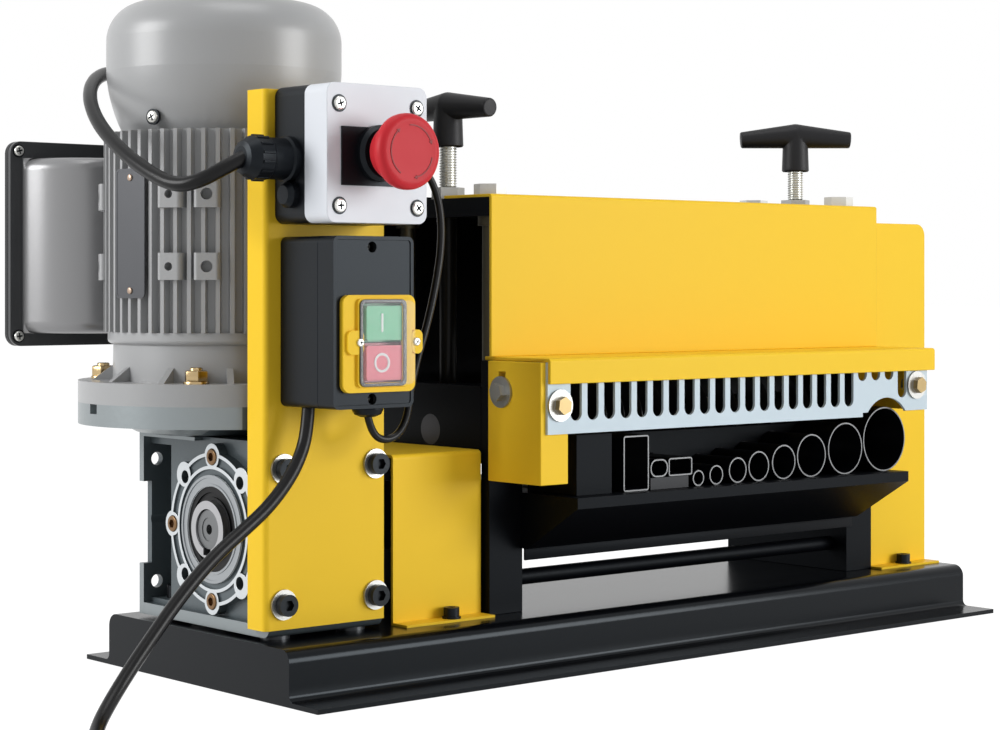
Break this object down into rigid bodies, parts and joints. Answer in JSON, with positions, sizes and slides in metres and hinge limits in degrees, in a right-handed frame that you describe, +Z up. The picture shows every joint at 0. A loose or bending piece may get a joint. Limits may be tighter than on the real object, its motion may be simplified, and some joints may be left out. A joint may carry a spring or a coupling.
{
  "type": "electric wire stripping machine",
  "caption": "Bench wire stripping machine with an upright gear motor, a cutter carriage under a yellow guard, round feed channels, switch boxes and a mains cord.",
  "frame": {"origin": "centre of the machine's bounding box, on the surface it stands on, without the free mains cord", "axes": "+X along the machine from the gear motor to the end cover, +Y to the back, +Z up"},
  "size_m": [0.854, 0.489, 0.4222],
  "materials": {
    "black_base": "semi gloss black paint",
    "yellow": "semi gloss yellow powder coat",
    "motor_grey": "satin light grey paint",
    "gear_grey": "painted casting with machined rims",
    "dark_box": "dark grey metallic",
    "black_metal": "satin black paint",
    "steel": "machined steel",
    "zinc": "blue zinc plate",
    "gold_zinc": "yellow zinc plate",
    "black_steel": "black oxide",
    "black_plastic": "fine texture",
    "pale_plastic": "smooth",
    "red_plastic": "smooth",
    "pink_red": "smooth",
    "green_plastic": "smooth",
    "rubber": "smooth jacket",
    "bronze": "cast bronze"
  },
  "bodies": {
    "machine": {"base_tray": "black_base", "gearbox_housing": "gear_grey", "output_covers": "gear_grey", "gear_motor_bolts": "gold_zinc", "output_seals": "rubber", "input_flange": "gear_grey", "motor_end_shield": "motor_grey", "motor_body": "motor_grey", "fan_cover": "motor_grey", "shaft_bearings": "steel", "post": "yellow", "black_socket_bolts": "black_steel", "washers": "zinc", "estop_rear_housing": "black_plastic", "estop_lid": "pale_plastic", "estop_collar": "black_plastic", "switch_modules": "black_plastic", "cable_glands": "black_plastic", "switch_rear_housing": "black_plastic", "switch_cover": "black_plastic", "small_screws": "zinc", "switch_bezel": "yellow", "coupling_cover": "yellow", "side_frames": "black_metal", "top_plate": "black_metal", "guide_posts": "zinc", "guard_hood": "yellow", "rear_guard": "yellow", "front_shelf": "yellow", "slotted_plate": "zinc", "plate_bolts": "zinc", "plate_brackets": "yellow", "small_guide_tubes": "black_metal", "middle_guide_tubes": "black_metal", "large_guide_tubes": "black_metal", "flat_channels": "black_metal", "feed_tray": "black_metal", "right_end_cover": "yellow", "terminal_box_shell": "dark_box", "terminal_box_lid": "dark_box", "fixed_leads": "rubber", "mains_cord": "rubber", "mains_cord_coil": "rubber", "mains_plug": "rubber"},
    "motor_rotor": {"rotor_shaft": "steel", "worm": "steel", "cooling_fan": "black_plastic"},
    "drive_train": {"worm_wheel": "bronze", "drive_shaft": "steel", "shaft_coupling": "steel", "feed_roller": "steel"},
    "blade_carriage": {"bearing_blocks": "black_metal"},
    "blade_spindle": {"blade_shaft": "steel", "blade_stack": "steel"},
    "tee_screw_left": {"t_screw_left": "black_plastic"},
    "tee_screw_right": {"t_screw_right": "black_plastic"},
    "stop_plunger": {"estop_plunger": "black_plastic"},
    "stop_head": {"estop_mushroom": "red_plastic"},
    "start_button": {"green_button": "green_plastic"},
    "stop_button": {"red_button": "pink_red"}
  },
  "joints": [
    {"name": "motor_rotor_turn", "type": "hinge", "parent": "machine", "child": "motor_rotor", "pos_m": [-0.2298, 0.034, 0.275], "axis": [0, 0, 1], "continuous": true},
    {"name": "drive_turn", "type": "hinge", "parent": "machine", "child": "drive_train", "pos_m": [-0.2298, -0.016, 0.095], "axis": [1, 0, 0], "continuous": true},
    {"name": "carriage_slide", "type": "slide", "parent": "machine", "child": "blade_carriage", "axis": [0, 0, 1], "range_m": [-0.0015, 0.01]},
    {"name": "blade_turn", "type": "hinge", "parent": "blade_carriage", "child": "blade_spindle", "pos_m": [0.0832, -0.016, 0.149], "axis": [1, 0, 0], "continuous": true},
    {"name": "tee_left_turn", "type": "hinge", "parent": "blade_carriage", "child": "tee_screw_left", "pos_m": [-0.0868, -0.016, 0.275], "axis": [0, 0, 1], "range_deg": [-309, 2058]},
    {"name": "tee_right_turn", "type": "hinge", "parent": "blade_carriage", "child": "tee_screw_right", "pos_m": [0.2532, -0.016, 0.275], "axis": [0, 0, 1], "range_deg": [-309, 2058]},
    {"name": "stop_press", "type": "slide", "parent": "machine", "child": "stop_plunger", "axis": [0, 1, 0], "range_m": [0, 0.004]},
    {"name": "stop_twist", "type": "hinge", "parent": "stop_plunger", "child": "stop_head", "pos_m": [-0.2333, -0.154, 0.32], "axis": [0, 1, 0], "range_deg": [0, 30]},
    {"name": "start_press", "type": "slide", "parent": "machine", "child": "start_button", "axis": [0, 1, 0], "range_m": [0, 0.0025], "stiffness_N_per_m": 400},
    {"name": "stop_button_press", "type": "slide", "parent": "machine", "child": "stop_button", "axis": [0, 1, 0], "range_m": [0, 0.0025], "stiffness_N_per_m": 400}
  ],
  "couplings": [
    {"joint": "drive_turn", "follows": "motor_rotor_turn", "ratio": -0.033333},
    {"joint": "tee_left_turn", "follows": "carriage_slide", "rad_per_m": 3590.4},
    {"joint": "tee_right_turn", "follows": "carriage_slide", "rad_per_m": 3590.4}
  ]
}
